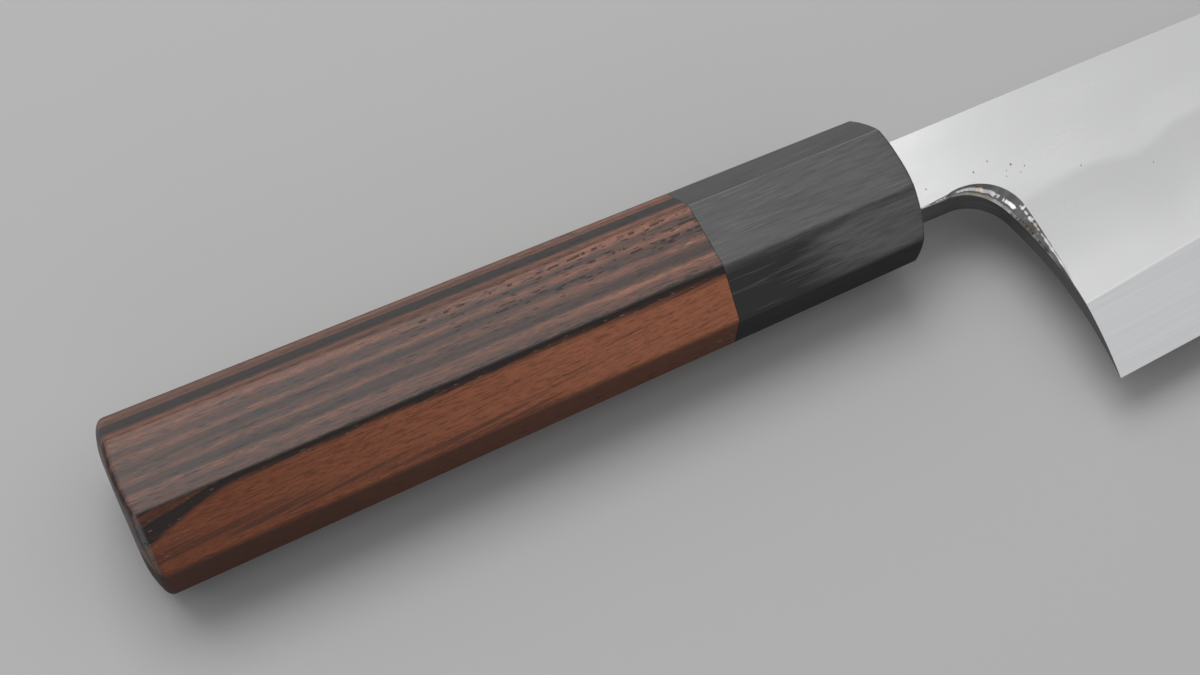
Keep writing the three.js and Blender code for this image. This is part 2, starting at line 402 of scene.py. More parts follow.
blade = {
    "tipX": fromMouth(bladeHigh).x,
    "heelX": 17.4,
    "spineY": fromMouth(bladeHigh).y,
    "heelY": fromMouth(bladeLow).y,
    "backZ": fromMouth(bladeLow).z,
    "tipDrop": 13.0,
    "spineThick": (bladeHigh.z - bladeLow.z) / mm,
    "shinogiThick": 2.75,
    "edgeThick": 0.15,
    "tipThick": 1.8,
    "taperSweep": 2.2,      # how late the blade thins
    "bevelWidth": 12.4,
    "bevelSwell": 0.03,
    "spineEase": 0.02,
    "backHollow": 0.35,
    "backRims": (3.5, 1.2),     # spine side, edge side
    "hollowRun": (7.9, 25.3),   # x from which the hollow deepens, and where it is full
    "tipBlunt": 0.5,
    "stations": 150,
    "crowding": 1.5,        # how much closer the stations lie at the tip
    "crease": 16,
}
bladeLength = blade["tipX"] - blade["heelX"]
heelHeight = blade["spineY"] - blade["heelY"]
tipY = blade["spineY"] - blade["tipDrop"]
# height at the heel, rise in degrees, straight stretch from the heel, how late the line sweeps to the tip
spineLine = (blade["spineY"], 0.0, 88.0, 2.2)
shinogiLine = (blade["heelY"] + blade["bevelWidth"], 6.1, 40.0, 2.6)
edgeLine = (blade["heelY"], 3.3, 43.0, 3.3)


def lineY(line, x):
    atHeel, angle, straight, sweep = line
    rise = math.tan(math.radians(angle))
    fromHeel = x - blade["heelX"]
    bend = max(0.0, (fromHeel - straight) / (bladeLength - straight))
    return atHeel + rise * fromHeel + (tipY - atHeel - rise * bladeLength) * bend ** sweep


# The flat falls gently from the spine, steepens at a soft ridge and eases again to the shinogi.
ridge = {"share": 0.47, "soft": 0.1, "upperSlope": 0.100, "steepSlope": 0.150, "lowerSlope": 0.108}
fallSteps = 200


def ridgeSlope(share):
    rising = smooth(share, ridge["share"] - ridge["soft"] / 2, ridge["share"] + ridge["soft"])
    below = clamp((share - ridge["share"] - ridge["soft"]) / (1 - ridge["share"] - ridge["soft"]))
    steep = lerp(ridge["steepSlope"], ridge["lowerSlope"], smooth(below, 0, 0.8))
    return lerp(ridge["upperSlope"], steep, rising)


fallSums = [0.0]
for fallStep in range(fallSteps):
    fallSums.append(fallSums[-1] + ridgeSlope((fallStep + 0.5) / fallSteps))


def fall(share):
    # Share of the flat's drop that is reached at a share of its depth
    at = clamp(share) * fallSteps
    low = min(int(at), fallSteps - 1)
    return lerp(fallSums[low], fallSums[low + 1], at - low) / fallSums[-1]


def bladeLines(x):
    along = clamp((x - blade["heelX"]) / bladeLength)
    taper = lerp(1, blade["tipThick"] / blade["spineThick"], along ** blade["taperSweep"])
    spine, shinogi, edge = [lineY(line, x) for line in (spineLine, shinogiLine, edgeLine)]
    bevelShare = min(1.0, (shinogi - edge) / blade["bevelWidth"])
    spineThick = blade["spineThick"] * taper
    shinogiThick = lerp(blade["edgeThick"], blade["shinogiThick"] * taper, bevelShare)
    return spine, shinogi, edge, spineThick, shinogiThick


def faceHeight(x, y):
    # Height of the bevelled face above the back
    spine, shinogi, edge, spineThick, shinogiThick = bladeLines(x)
    if y >= shinogi:
        return lerp(spineThick, shinogiThick, fall((spine - y) / (spine - shinogi)))
    across = clamp((shinogi - y) / (shinogi - edge))
    bevelShare = min(1.0, (shinogi - edge) / blade["bevelWidth"])
    swell = blade["bevelSwell"] * 4 * across * (1 - across) * bevelShare
    return lerp(shinogiThick, blade["edgeThick"], across) + swell


flatSteps, bevelSteps, hollowSteps, spineSteps = 34, 10, 16, 4
flatIndex, bevelIndex, spineIndex, backIndex, wallIndex, roundingIndex = range(6)


def bladeRing(x):
    # Points round the section and the finish of the face that starts at each
    spine, shinogi, edge, thick, _ = bladeLines(x)
    narrow = min(1.0, 2 * (spine - edge) / heelHeight)
    ease = blade["spineEase"] * narrow
    ring = []

    def add(y, t, finish):
        ring.append(((x, y, blade["backZ"] + t), finish))

    for i in range(spineSteps + 1):
        add(spine, lerp(ease, thick - ease, i / spineSteps), spineIndex)
    for i in range(1, 5):       # eased corner to the flat
        turn = i / 4 * math.pi / 2
        y = spine - ease * (1 - math.cos(turn))
        t = thick - ease * (1 - math.sin(turn)) - (thick - faceHeight(x, spine - ease)) * math.sin(turn)
        add(y, t, spineIndex if i < 4 else flatIndex)
    for i in range(1, flatSteps + 1):
        y = lerp(spine - ease, shinogi, i / flatSteps)
        add(y, faceHeight(x, y), flatIndex if i < flatSteps else bevelIndex)
    for i in range(1, bevelSteps + 1):
        y = lerp(shinogi, edge, i / bevelSteps)
        add(y, faceHeight(x, y), bevelIndex)
    rimSpine, rimEdge = blade["backRims"]
    rimLow, rimHigh = edge + rimEdge * narrow, spine - rimSpine * narrow
    depth = blade["backHollow"] * narrow * smooth(x, *blade["hollowRun"])
    add(edge, 0, backIndex)
    for i in range(hollowSteps + 1):
        across = i / hollowSteps
        add(lerp(rimLow, rimHigh, across), 4 * depth * across * (1 - across), backIndex)
    for i in range(4):       # eased corner to the spine
        turn = i / 4 * math.pi / 2
        add(spine - ease * (1 - math.sin(turn)), ease * (1 - math.cos(turn)), spineIndex)
    return ring


def tangLoop(x, pattern):
    # The tang's section with as many points as the blade's, side for side
    corners = [Vector(p) for p in tangRing(x, 0)]
    upTo = [spineSteps + 2, flatSteps + bevelSteps + 2, 2]
    upTo.append(len(pattern) - sum(upTo))
    loop = []
    for i, count in enumerate(upTo):
        start, end = corners[i], corners[(i + 1) % 4]
        loop += [tuple(start.lerp(end, j / count)) for j in range(count)]
    return loop


# Choil: a small arc under the neck, a long hollow arc to the heel corner, a polished rounding along both

choil = {
    "startX": 7.9,
    "radius": 7.9,
    "heelRadius": 80.0,
    "arcSteps": 40,
    "mouthRound": 0.1,      # rounding's size where the neck leaves the ferrule
    "neckRound": 1.15,
    "footRound": 3.8,
    "fadeRound": 0.02,
    "fadeSweep": 1.35,      # how early the rounding narrows on its way to the bevel
    "wallTurn": 20.0,       # degrees of the rounding's arc, from the wall to the flat
    "faceTurn": 65.0,
}
choilCentre = Vector((choil["startX"], neck["lowerY"] - choil["radius"]))
toHeel = Vector((blade["heelX"], blade["heelY"])) - choilCentre
centreGap = choil["heelRadius"] - choil["radius"]
reach = (choil["heelRadius"] ** 2 - centreGap ** 2 - toHeel.length_squared) / (2 * centreGap)
joinAngle = math.atan2(toHeel.y, toHeel.x) + math.acos(reach / toHeel.length)
heelCentre = choilCentre - centreGap * Vector((math.cos(joinAngle), math.sin(joinAngle)))
cornerAngle = math.asin((blade["heelY"] - heelCentre.y) / choil["heelRadius"])
fadeAngle = math.asin((blade["heelY"] + blade["bevelWidth"] - heelCentre.y) / choil["heelRadius"])


def onArc(centre, radius, angle):
    into = Vector((math.cos(angle), math.sin(angle)))
    return centre + radius * into, into


def choilCutter():
    left, below, deep = tang["startX"] - 5, blade["heelY"] - 5, 14.0
    outline = [Vector((left, neck["lowerY"]))]
    for i in range(choil["arcSteps"] + 1):
        angle = lerp(math.pi / 2, joinAngle, i / choil["arcSteps"])
        outline.append(onArc(choilCentre, choil["radius"], angle)[0])
    for i in range(1, choil["arcSteps"] + 1):
        angle = lerp(joinAngle, cornerAngle, i / choil["arcSteps"])
        outline.append(onArc(heelCentre, choil["heelRadius"], angle)[0])
    outline += [Vector((blade["heelX"], below)), Vector((left, below))]
    count = len(outline)
    points = [(p.x, p.y, z) for z in (-deep, deep) for p in outline]
    faces = [(i, i + count, (i + 1) % count + count, (i + 1) % count) for i in range(count)]
    faces += [tuple(range(count)), tuple(reversed(range(count, 2 * count)))]
    return makePiece("choilCutter", points, faces)


def roundingCutter():
    stops = []
    for i in range(12):       # along the neck
        x = lerp(tang["startX"], choil["startX"], i / 12)
        size = lerp(choil["mouthRound"], choil["neckRound"], smooth(x, -1.0, choil["startX"] + 2))
        stops.append((Vector((x, neck["lowerY"])), Vector((0, 1)), size))
    for i in range(choil["arcSteps"] + 1):
        along = i / choil["arcSteps"]
        at, into = onArc(choilCentre, choil["radius"], lerp(math.pi / 2, joinAngle, along))
        stops.append((at, into, lerp(choil["neckRound"], choil["footRound"], smooth(along, -0.2, 0.9))))
    for i in range(1, choil["arcSteps"] + 1):
        along = i / choil["arcSteps"]
        at, into = onArc(heelCentre, choil["heelRadius"], lerp(joinAngle, fadeAngle, along))
        size = choil["footRound"] * (1 - along) ** choil["fadeSweep"]
        stops.append((at, into, max(size, choil["fadeRound"])))
    return makePiece("roundingCutter", *loft([roundingRing(*stop) for stop in stops]))


def roundingRing(at, into, size):
    # What the rounding takes off at one stop: the corner outside an arc with a crisp line at both ends
    first, last = math.radians(choil["wallTurn"]), math.radians(choil["faceTurn"])

    def point(inset, down):
        x, y = at.x + into.x * inset, at.y + into.y * inset
        return x, y, blade["backZ"] + faceHeight(x, y) - down

    ring = []
    for i in range(9):
        turn = lerp(first, last, i / 8)
        inset, down = math.cos(first) - math.cos(turn), math.sin(last) - math.sin(turn)
        ring.append(point(size * inset, size * down))
    reachOut = 0.5 * size
    wallInset, wallDown = 0.0, size * (math.sin(last) - math.sin(first))
    faceInset = size * (math.cos(first) - math.cos(last))
    below = point(wallInset - reachOut * math.sin(first), wallDown + reachOut * math.cos(first))
    above = point(faceInset + reachOut * math.sin(last), -reachOut * math.cos(last))
    outer = [point(faceInset + reachOut * math.sin(last), -size), point(-size, -size)]
    return [below, *ring, above, *outer, point(-size, wallDown + reachOut * math.cos(first))]


# Finishes

# the flat's few pits: x, y and radius
flatPits = [
    (12.8, -4.5, 0.22), (15.8, -3.7, 0.16), (19.1, -5.7, 0.24), (21.1, -6.8, 0.14), (17.4, -7.3, 0.12),
    (29.7, -10.5, 0.16), (41.2, -14.7, 0.13), (4.2, -4.0, 0.14), (17.9, -6.4, 0.1), (19.9, -7.6, 0.11),
]


def flatSteelFinish():
    steel, place, shader = startFinish("flat_steel", Metallic=1.0)
    haze = place.noise((0.05, 0.16, 0.16), 3.0, 0.55)
    brush = place.noise((0.015, 1.1, 0.4), 2.0, 0.5, 7.0)
    x, y, _ = place.split()
    shinogi = shinogiLine[0] + math.tan(math.radians(shinogiLine[1])) * (x - blade["heelX"])
    share = (blade["spineY"] - y) / (blade["spineY"] - shinogi)
    paintedShinogiLine = share.step(0.985, 0.993)       # a painted highlight: a bright line along the shinogi
    sway = place.noise((0.05, 0.05, 0.05), 1.0, 0.4, 19.0) - 0.5
    share = share + 0.12 * sway - 0.07 * x.band(34.0, 44.0, 5.0, 5.0)
    # painted shade: a darker band just below the soft ridge, standing in for its soft shadow
    paintedRidgeShade = share.step(ridge["share"] - 0.03, ridge["share"] + 0.03) * share.step(0.95, ridge["share"])
    flatPlace = place.join(x, y, 0.0)
    pits = 0.0
    for pitX, pitY, size in flatPits:
        away = flatPlace.node("VectorMath", {"operation": "DISTANCE"}, {
            0: flatPlace, 1: (pitX, pitY, 0)}, 1)
        pits = pits + away.step(size, size * 0.4)
    colour = haze.step(0.25, 0.75).mix((0.68, 0.681, 0.685), (0.72, 0.721, 0.724))
    # darker along the spine by the heel, paler towards the shinogi
    colour = (0.7 * share.step(0.45, 0.2) * x.step(5.0, 20.0)).mix(colour, (0.662, 0.663, 0.667))
    colour = (0.9 * share.step(0.55, 0.9)).mix(colour, (0.775, 0.776, 0.778))
    colour = (paintedRidgeShade * 0.6).mix(colour, (0.588, 0.59, 0.596))
    colour = (0.7 * paintedShinogiLine).mix(colour, (0.82, 0.82, 0.825))
    colour = pits.mix(colour, (0.16, 0.15, 0.14))
    rough = 0.21 + 0.07 * haze + 0.03 * brush + 0.3 * pits
    feed(place, shader, Base_Color=colour, Roughness=rough, Normal=(1 - pits).bump(0.00002))
    return steel


def bevelSteelFinish():
    steel, place, shader = startFinish("bevel_steel", Metallic=1.0)
    turned = place.node("VectorRotate", {"rotation_type": "Z_AXIS"}, {
        "Vector": place, "Angle": -math.radians(edgeLine[1])})
    scratch = turned.noise((0.03, 9.0, 1.0), 4.0, 0.65)
    coarse = turned.noise((0.015, 1.3, 0.5), 2.0, 0.5, 5.0)
    tone = (scratch * 0.65 + coarse * 0.35).step(0.3, 0.7)
    colour = tone.mix((0.635, 0.64, 0.65), (0.705, 0.71, 0.715))
    feed(place, shader, Base_Color=colour, Roughness=0.28 + 0.12 * scratch, Normal=scratch.bump(0.000003))
    return steel


def spineSteelFinish():
    steel, place, shader = startFinish("spine_steel", Metallic=1.0)
    cloud = place.noise((0.2, 0.2, 0.9), 2.0, 0.5)
    lines = place.noise((0.05, 0.05, 7.0), 2.0, 0.5, 3.0)
    colour = cloud.step(0.3, 0.7).mix((0.6, 0.6, 0.605), (0.68, 0.68, 0.685))
    feed(place, shader, Base_Color=colour, Roughness=0.12 + 0.14 * lines, Normal=lines.bump(0.000004))
    return steel


def wallSteelFinish():
    # filed and left unpolished; its steel is darkened as painted shade, for the shade it mirrors
    steel, place, shader = startFinish("choil_wall_steel", Metallic=1.0)
    lines = place.noise((0.1, 0.1, 6.0), 3.0, 0.6, 3.0)
    colour = lines.step(0.3, 0.7).mix((0.1, 0.1, 0.102), (0.17, 0.17, 0.172))
    feed(place, shader, Base_Color=colour, Roughness=0.3 + 0.15 * lines, Normal=lines.bump(0.000006))
    return steel


def roundingSteelFinish():
    # polished by hand: small waves across the rounding, with painted reflections as light and dark bars
    # and a straw-coloured painted reflection of the handle
    steel, place, shader = startFinish("choil_polish", Metallic=1.0)
    x, y, z = place.split()
    turn = place.math("ARCTAN2", y - choilCentre.y, x - choilCentre.x)
    along = place.join(choil["radius"] * turn, z, 0.0)
    waves = along.noise((0.5, 0.2, 1.0), 2.0, 0.5)
    paintedReflectionBars = along.noise((0.5, 0.1, 1.0), 2.0, 0.6, 6.0).step(0.4, 0.6)
    paintedHandleReflection = along.noise((0.3, 0.8, 1.0), 1.0, 0.5, 12.0).step(0.5, 0.7)
    # painted reflections: light and dark bars, then the handle's straw colour
    colour = paintedReflectionBars.mix((0.55, 0.55, 0.553), (0.85, 0.85, 0.852))
    colour = (paintedHandleReflection * 0.5).mix(colour, (0.52, 0.37, 0.2))
    feed(place, shader, Base_Color=colour, Roughness=0.07 + 0.1 * waves, Normal=waves.bump(0.0002))
    return steel


def backSteelFinish():
    steel, place, shader = startFinish("back_steel", Metallic=1.0)
    grind = place.noise((3.0, 0.06, 0.5), 3.0, 0.6)
    haze = place.noise((0.06, 0.06, 0.06), 2.0, 0.5, 11.0)
    colour = grind.step(0.3, 0.7).mix((0.56, 0.565, 0.575), (0.67, 0.675, 0.68))
    rough = 0.24 + 0.1 * grind + 0.06 * haze
    feed(place, shader, Base_Color=colour, Roughness=rough, Normal=grind.bump(0.000003))
    return steel


# y of the far upper arris and y + z of the near one: at the mouth, and what each gains per millimetre
hornArrises = {"far": (5.64, -0.0058), "near": (4.45, -0.0047)}


def hornFinish():
    horn, place, shader = startFinish("black_horn", Specular_IOR_Level=0.6)
    x, y, z = place.split()
    fibre = place.noise((0.2, 2.1, 2.1), 3.0, 0.7)
    scratch = place.noise((0.09, 4.2, 4.2), 1.0, 0.5, 31.0).step(0.62, 0.72)
    streaks = place.noise((0.06, 0.9, 0.9), 2.0, 0.6, 9.0)
    cloud = place.noise((0.07, 0.16, 0.16), 2.0, 0.5, 21.0)
    # a painted highlight: a pale line along the arris between the upper and the far facet
    farArris = hornArrises["far"][0] + hornArrises["far"][1] * x
    paintedArrisHighlight = y.band(farArris - 0.16, farArris + 0.1, 0.1, 0.1) * z.step(8.0, 9.0) * cloud.step(0.3, 0.5)
    # painted shade darkens the near corner facet, and a painted sheen makes it greyer towards the mouth
    below = (hornArrises["near"][0] + hornArrises["near"][1] * x - y - z) / math.sqrt(2)
    corner = below.step(0.3, 1.8) * z.step(2.6, 4.2)
    paintedSheen = corner * (x + 9 * (cloud - 0.5) + 14 * (streaks - 0.5)).step(-24.0, -12.0)
    tone = (0.8 * fibre + 0.2 * streaks).step(0.28, 0.74)
    colour = tone.mix((0.042, 0.0417, 0.0433), (0.094, 0.0934, 0.0965))
    colour = (0.85 * (corner - paintedSheen)).mix(colour, (0.009, 0.0085, 0.0083))
    colour = (paintedSheen * (0.25 + 0.75 * tone)).mix(colour, (0.15, 0.149, 0.151))
    colour = (scratch * 0.35 + paintedArrisHighlight * 0.7).mix(colour, (0.2, 0.196, 0.192))
    sides = z.step(4.4, 2.6)       # painted shade: the sides are made black, and they are duller
    colour = sides.mix(colour, (0.004, 0.004, 0.004))
    rough = 0.34 + 0.22 * fibre + 0.08 * cloud + 0.3 * sides
    feed(place, shader, Base_Color=colour, Roughness=rough, Normal=fibre.bump(0.000008))
    return horn


grain = {
    "across": (-0.65, 0.76),        # direction in which the growth layers follow each other, as y and z
    "range": (-12.5, 4.15, 12.5),   # millimetres of layers that the two sets of stops cover
    "shear": 0.006,                 # how much the layers lean along the handle
    "middleX": -90.0,
    "pale": (0.305, 0.124, 0.077),
    "dark": (0.012, 0.0118, 0.0118),
    "streak": (0.012, 0.0085, 0.0075),
    "deepOrange": (0.2, 0.053, 0.017),     # the flat-sawn near side, from the butt to the joint
    "paleOrange": (0.42, 0.143, 0.069),
    "string": (0.045, 0.016, 0.009),
    "pore": (0.014, 0.009, 0.008),
    "glint": (0.42, 0.33, 0.26),
    # painted highlight on the butt's eased rim
    "rim": (0.26, 0.25, 0.25),
}
# layer in millimetres, and how pale it is
farLayers = [
    (-11.6, 0.1), (-10.7, 0.35), (-9.6, 0.08), (-8.3, 0.3), (-7.2, 0.12), (-6.2, 0.4), (-4.9, 0.1),
    (-4.0, 0.5), (-3.3, 0.35), (-2.6, 0.23), (-1.95, 0.33), (-1.45, 0.15), (-1.0, 0.0), (0.0, 0.05),
    (0.9, 0.01), (1.6, 0.04), (2.3, 0.22), (2.75, 0.4), (3.5, 0.27), (4.15, 0.34),
]
topLayers = [
    (4.35, 0.3), (4.72, 0.56), (5.1, 0.46), (5.5, 0.2), (5.97, 0.17), (6.24, 0.36), (6.43, 0.43),
    (6.8, 0.27), (7.2, 0.1), (7.57, 0.18), (8.4, 0.37), (8.7, 0.25), (9.0, 0.14), (9.47, 0.07),
    (9.74, 0.17), (10.04, 0.52), (10.23, 0.42), (10.6, 0.28), (11.2, 0.27),
]
# rows of open pores: layer, and how far towards the butt they reach
poreRows = [(5.02, -84.0), (6.1, -60.0), (7.0, -52.0)]
# The black streak under the near arris: millimetres below that arris, along the handle and at the butt
streak = {"top": (-0.22, 2.3, 1.2), "foot": (1.0, 4.4, 1.35), "startX": -114.0, "run": 16.0}


def layerStops(wire, layers, layer, low, high):
    stops = [((at - low) / (high - low), value) for at, value in layers]
    return wire.node("ValToRGB", {"stops": stops}, {"Fac": (layer - low) / (high - low)})


def rosewoodFinish(name, endGrain):
    wood, place, shader = startFinish(name, Specular_IOR_Level=0.42)
    x, y, z = place.split()
    low, seam, high = grain["range"]
    jointX, jointSize = handle["jointX"], handle["jointSize"]
    growth = (handle["buttSize"].y / jointSize.y - 1) / (jointX - handle["buttX"])
    swell = 1 + growth * (jointX - x)       # stripes follow the handle's taper
    yEven, zEven = y / swell, z / swell
    even = place.join(x, yEven, zEven)
    wander = even.noise((0.011, 0.05, 0.05), 1.0, 0.4, 2.0) - 0.5
    ripple = even.noise((0.06, 0.45, 0.45), 3.0, 0.55, 14.0) - 0.5
    layer = grain["across"][0] * yEven + grain["across"][1] * zEven
    loose = 1 - layer.step(8.5, 10.0)       # the layers lie straighter near the near arris
    layer = layer + ripple * (0.3 + 0.3 * loose)
    layer = layer + loose * (wander * 0.25 + grain["shear"] * (x - grain["middleX"]))
    leg = lerp(handle["frontFacet"], handle["buttFacet"], jointX / handle["buttX"])
    arris = jointSize.z / 2 - jointSize.y / 2 + leg
    below = (arris - yEven - zEven) / math.sqrt(2)       # down the near corner facet from its upper arris
    # fine lines along the layers, and fibres along the grain
    lines = place.join(x, layer, below).noise((0.03, 2.2, 1.1), 4.0, 0.62, 40.0) - 0.5
    fibre = even.noise((0.42, 3.2, 3.2), 3.0, 0.7, 55.0) - 0.5
    far = 1.3 * layerStops(place, farLayers, layer, low, seam)
    top = layerStops(place, topLayers, layer, seam, high)
    pale = far + layer.step(seam - 0.05, seam + 0.05) * (top - far)
    pale = pale * (1 + 0.28 * x.step(-75.0, -45.0))
    pale = pale + (0.06 + 0.85 * pale) * (2.7 * lines + 3.8 * fibre)
    striped = pale.limit().mix(grain["dark"], grain["pale"])
    # the plainer near side: redder and darker towards the butt, its dark strings thickest low down
    slant = below + 0.06 * x
    strings = place.join(x, slant, layer).noise((0.045, 2.4, 0.6), 4.0, 0.66, 25.0) - 0.5
    ripe = x.step(-140.0, -30.0) + 1.1 * strings + 1.5 * fibre
    plain = ripe.limit().mix(grain["deepOrange"], grain["paleOrange"])
    patchMiddle = 7.6 + 0.03 * (x + 98)
    patch = below.band(patchMiddle - 1.0, patchMiddle + 1.0, 0.9, 0.6) * x.step(-58.0, -72.0)
    stringy = (strings + 0.6 * fibre + 0.15 * patch).step(0.06, 0.2)
    plain = (0.4 * fibre.step(0.02, -0.16)).mix(plain, grain["string"])
    plain = (0.7 * stringy).mix(plain, grain["string"])
    near = below.step(0.0, 0.5) * zEven.step(-9.5, -6.5)
    sides = zEven.step(4.4, 2.6)       # painted shade: the sides are darkened, and they are duller
    plain = (0.6 * sides).mix(plain, grain["dark"])
    colour = near.mix(striped, plain)
    turning = ((streak["startX"] - x) / streak["run"]).limit()
    sway = place.join(x, 0.0, 0.0).noise((0.035, 1.0, 1.0), 2.0, 0.5, 33.0) - 0.5
    edges = []
    for start, drop, power in (streak["top"], streak["foot"]):
        edges.append(start + drop * place.math("POWER", turning, power) + 1.6 * strings + 1.2 * fibre)
    atJoint = x.step(-66.0, -48.0)       # its lower edge is softer towards the joint
    black = below.band(edges[0], edges[1] + 1.2 * sway + 0.5 * atJoint, 0.15, 0.45 + 0.45 * atJoint)
    black = black * (0.97 - 0.4 * turning * strings.step(0.0, 0.25))
    sliver = below.band(-0.2, edges[0], 0.1, 0.3) * (0.5 + 2.0 * strings)
    colour = sliver.mix(colour, grain["streak"])
    colour = black.mix(colour, grain["streak"])
    # pores as short dashes, and a few pale ones
    pores = even.noise((0.42, 2.6, 2.6), 1.0, 0.4, 71.0).step(0.64, 0.72)
    pores = pores * (0.3 + 0.7 * layer.step(9.4, 7.2) * x.step(-95.0, -55.0))
    for rowLayer, fromX in poreRows:
        dashes = even.noise((0.75, 0.1, 0.1), 1.0, 0.5, 80.0 + rowLayer).step(0.5, 0.58)
        row = layer.band(rowLayer - 0.11, rowLayer + 0.11, 0.06, 0.06) * x.step(fromX, fromX + 6)
        pores = pores + row * dashes
    pores = pores.limit()
    colour = (pores * (0.8 - 0.4 * near)).mix(colour, grain["pore"])
    glintPlaces = 0.5 * below.band(0.4, 1.5, 0.2, 0.4)
    glintPlaces = glintPlaces + 0.4 * x.step(-116.0, -124.0) * below.band(2.0, 9.0, 1.0, 0.5)
    glintPlaces = glintPlaces + x.step(-41.0, -37.5) * layer.band(5.2, 8.6, 0.3, 0.3)
    glints = even.noise((0.8, 5.0, 5.0), 0.0, 0.5, 91.0).step(0.73, 0.83) * glintPlaces
    colour = glints.mix(colour, grain["glint"])
    if endGrain:       # cut across, the wood drinks more oil
        damp = even.noise((0.2, 1.6, 1.6), 3.0, 0.6, 17.0).step(0.2, 0.9)
        colour = (0.3 + 0.5 * damp).mix(colour, grain["dark"])
    # the near corner facet ends in a pale rim: a painted highlight on its eased edge
    buttSize = handle["buttSize"]
    facetOut = (buttSize.y / 2 + buttSize.z / 2 - handle["buttFacet"]) / math.sqrt(2)
    rim = ((z - y) / math.sqrt(2)).step(facetOut - 0.8, facetOut - 0.3)
    rim = rim * (x - handle["buttX"]).step(1.9, 1.25) * (fibre + 0.5).step(0.3, 0.5)
    colour = (0.45 * rim).mix(colour, grain["rim"])
    rough = 0.41 + 0.25 * fibre + 0.15 * pores + 0.3 * sides
    height = fibre * 0.5 + lines * 0.3 - pores
    feed(place, shader, Base_Color=colour, Roughness=rough, Normal=height.bump(0.00003))
    return wood


def magnoliaFinish():
    wood, place, shader = startFinish("magnolia", Specular_IOR_Level=0.3)
    rings = place.noise((0.03, 1.2, 1.2), 3.0, 0.6)
    fibre = place.noise((0.2, 6.0, 6.0), 2.0, 0.6, 8.0)
    colour = rings.step(0.3, 0.7).mix((0.62, 0.49, 0.27), (0.5, 0.37, 0.18))
    feed(place, shader, Base_Color=colour, Roughness=0.6 + 0.2 * fibre, Normal=fibre.bump(0.00003))
    return wood


def beddingFinish():
    compound, place, shader = startFinish("setting_compound", Specular_IOR_Level=0.3)
    grit = place.noise((2.5, 2.5, 2.5), 3.0, 0.7)
    colour = grit.step(0.3, 0.7).mix((0.03, 0.026, 0.023), (0.055, 0.047, 0.042))
    feed(place, shader, Base_Color=colour, Roughness=0.6 + 0.25 * grit, Normal=grit.bump(0.0001))
    return compound


# Pieces

def makeHorn(finish):
    ease, jointX = handle["jointEase"], handle["jointX"]
    rings = [handleRing(jointX, ease), handleRing(jointX + ease)]
    rings += [handleRing(lerp(jointX + ease, -ends["mouthRun"], i / 8)) for i in range(1, 9)]
    rings += crownedEnd(mouthFace, -1, ends["mouthFlat"], ends["mouthCrown"], ends["mouthEase"])
    horn = makePiece("horn_ferrule_finish", *loft(rings), [finish])
    cutAway(horn, boreCutter(jointX - 5, tang["beddingX"]))
    gap = tang["clearance"]
    slot = []
    for x in (tang["startX"] - gap, 5.0):
        upper, lower = neck["spineY"] + gap, neck["lowerY"] - gap
        topSpine = blade["backZ"] + faceHeight(0, neck["spineY"]) + gap
        topLower = blade["backZ"] + faceHeight(0, neck["lowerY"]) + gap
        bottom = blade["backZ"] - gap
        slot.append([(x, upper, bottom), (x, upper, topSpine), (x, lower, topLower), (x, lower, bottom)])
    cutAway(horn, makePiece("slotCutter", *loft(slot)))
    cutAway(horn, tangCutter(tang["beddingX"] - 5, tang["startX"], tang["beddingWall"]))
    shadeEdges(horn, handle["crease"])
    standFor(horn, "horn_ferrule")


def makeWood(sideFinish, endFinish):
    ease, jointX, buttX = handle["jointEase"], handle["jointX"], handle["buttX"]
    rings = crownedEnd(buttX, 1, ends["buttFlat"], ends["buttCrown"], ends["buttEase"])[::-1]
    endRings = len(rings) - 2
    rings += [handleRing(lerp(buttX + ends["buttRun"], jointX - ease, i / 16)) for i in range(17)]
    rings.append(handleRing(jointX, ease))
    wood = makePiece("handle_body_finish", *loft(rings), [sideFinish, endFinish])
    count = len(rings[0])
    for face in wood.data.polygons:
        if max(face.vertices) < endRings * count:
            face.material_index = 1
    cutAway(wood, boreCutter(dowelBackX - tang["clearance"], jointX + 5))
    cutAway(wood, tangCutter(tang["endX"] - tang["holeSpare"], dowelBackX, tang["clearance"]))
    shadeEdges(wood, handle["crease"])
    standFor(wood, "handle_body")


def makeBlade(finishes):
    startX, endX = tang["startX"], blade["tipX"] - blade["tipBlunt"]
    rings = []
    for i in range(blade["stations"] + 1):
        along = 1 - (1 - i / blade["stations"]) ** blade["crowding"]
        rings.append(bladeRing(lerp(startX, endX, along)))
    pattern = [finish for _, finish in rings[0]]
    loops = [tangLoop(x, pattern) for x in (tang["endX"], startX)]
    loops += [[p for p, _ in ring] for ring in rings]
    tip = (blade["tipX"], tipY, blade["backZ"] + blade["edgeThick"])
    points, faces = loft(loops, None, tip)
    steel = makePiece("blade_finish", points, faces, finishes)
    for face in steel.data.polygons:
        corner = min(face.vertices)
        row = corner // len(pattern)
        column = face.vertices[0] % len(pattern)
        face.material_index = pattern[column] if row > 1 else backIndex
    for cutter, index in ((choilCutter(), wallIndex), (roundingCutter(), roundingIndex)):
        for finish in finishes:
            cutter.data.materials.append(finish)
        for face in cutter.data.polygons:
            face.material_index = index
        cutAway(steel, cutter)
    shadeEdges(steel, blade["crease"])
    standFor(steel, "blade")


blackHorn = hornFinish()
rosewood, rosewoodEnd = rosewoodFinish("rosewood", False), rosewoodFinish("rosewood_end", True)
steels = [flatSteelFinish(), bevelSteelFinish(), spineSteelFinish(), backSteelFinish()]
steels += [wallSteelFinish(), roundingSteelFinish()]
makeHorn(blackHorn)
print("horn ferrule made")
makeWood(rosewood, rosewoodEnd)
print("handle body made")
makeBlade(steels)
print("blade made")
for node, finish in (("core_dowel", magnoliaFinish()), ("tang_bedding", beddingFinish())):
    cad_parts[node].material_slots[0].material = finish
print("dowel and bedding finished")


# Studio

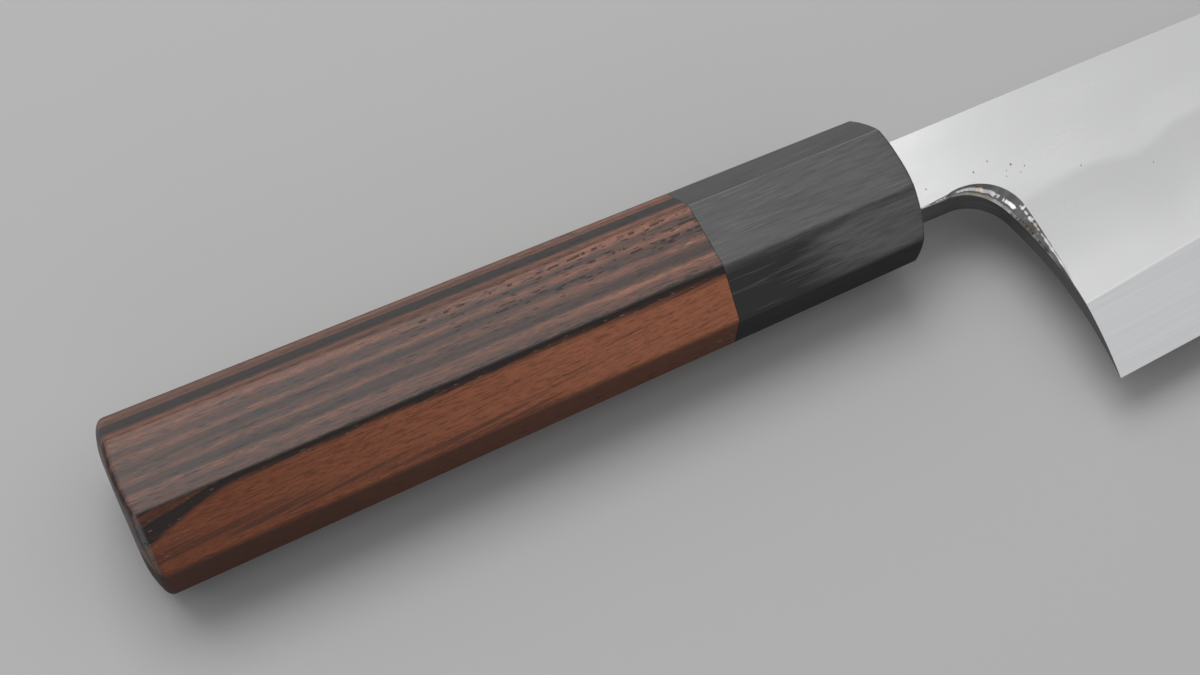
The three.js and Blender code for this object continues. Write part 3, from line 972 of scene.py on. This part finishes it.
studio = {
    "floorSize": 6.0,
    "floorColour": (0.52, 0.52, 0.518),
    "bounceColour": (0.13, 0.13, 0.13),     # what the floor throws back on the knife's sides
    "worldColour": (0.15, 0.151, 0.154),
    "lamps": [      # name, direction from the knife, distance, size, how bright its face is
        ("key", (-0.1, 0.435, 0.895), 1.2, (0.95, 0.7), 2.8),
        ("overhead", (0.35, -0.05, 0.93), 1.2, (1.4, 1.2), 0.65),
        ("near_card", (-0.1, -0.92, 0.38), 1.2, (1.5, 0.45), 0.65),
        ("left_card", (-0.86, -0.29, 0.37), 1.2, (0.45, 0.35), 1.3),
        ("far_fill", (-0.35, 0.62, 0.7), 1.3, (2.2, 1.2), 0.8),
    ],
}


def softbox(name, towards, distance, size, radiance):
    # A square-cornered lamp that looks at the knife
    lamp = bpy.data.lights.new(name, "AREA")
    lamp.shape = "RECTANGLE"
    lamp.size, lamp.size_y = size
    lamp.energy = radiance * math.pi * size[0] * size[1]
    box = bpy.data.objects.new(name, lamp)
    aim = Vector(towards).normalized()
    box.location = aim * distance
    box.rotation_euler = aim.to_track_quat("Z", "Y").to_euler()
    scene.collection.objects.link(box)


def makeStudio():
    half = studio["floorSize"] / 2
    mesh = bpy.data.meshes.new("floor")
    corners = [(-half, -half, 0), (half, -half, 0), (half, half, 0), (-half, half, 0)]
    mesh.from_pydata(corners, [], [(0, 1, 2, 3)])
    floor = bpy.data.objects.new("floor", mesh)
    scene.collection.objects.link(floor)
    paper, place, shader = startFinish("floor_paper", Specular_IOR_Level=0.1)
    cloud = place.noise((0.004, 0.004, 0.004), 2.0, 0.5)
    tone = cloud.mix(studio["floorColour"], tuple(0.97 * c for c in studio["floorColour"]))
    seen = 0.0
    for ray in ("Is Camera Ray", "Is Glossy Ray", "Is Transmission Ray"):
        seen = seen + place.node("LightPath", None, None, ray)
    tone = seen.mix(studio["bounceColour"], tone)
    feed(place, shader, Base_Color=tone, Roughness=0.85)
    mesh.materials.append(paper)
    for lamp in studio["lamps"]:
        softbox(*lamp)
    world = bpy.data.worlds.new("room")
    world.use_nodes = True
    world.node_tree.nodes["Background"].inputs["Color"].default_value = (*studio["worldColour"], 1)
    scene.world = world


# Camera: the photograph's view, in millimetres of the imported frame

view = {
    "location": (-144.364, -110.469, 296.467),
    "aim": (-72.621, 10.899, 11.444),
    "roll": 4.811,      # degrees
    "lens": 61.761,
}


def makeCamera():
    lens = bpy.data.cameras.new("camera")
    lens.sensor_fit = "HORIZONTAL"
    lens.sensor_width = 36.0
    lens.lens = view["lens"]
    lens.clip_start, lens.clip_end = 0.01, 50.0
    camera = bpy.data.objects.new("camera", lens)
    camera.location = Vector(view["location"]) * mm
    sight = (Vector(view["aim"]) - Vector(view["location"])).to_track_quat("-Z", "Y")
    roll = Quaternion((0, 0, 1), math.radians(view["roll"]))
    camera.rotation_mode = "QUATERNION"
    camera.rotation_quaternion = sight @ roll
    scene.collection.objects.link(camera)
    scene.camera = camera


makeStudio()
makeCamera()
scene.view_settings.view_transform = "Standard"
print("studio and camera set")
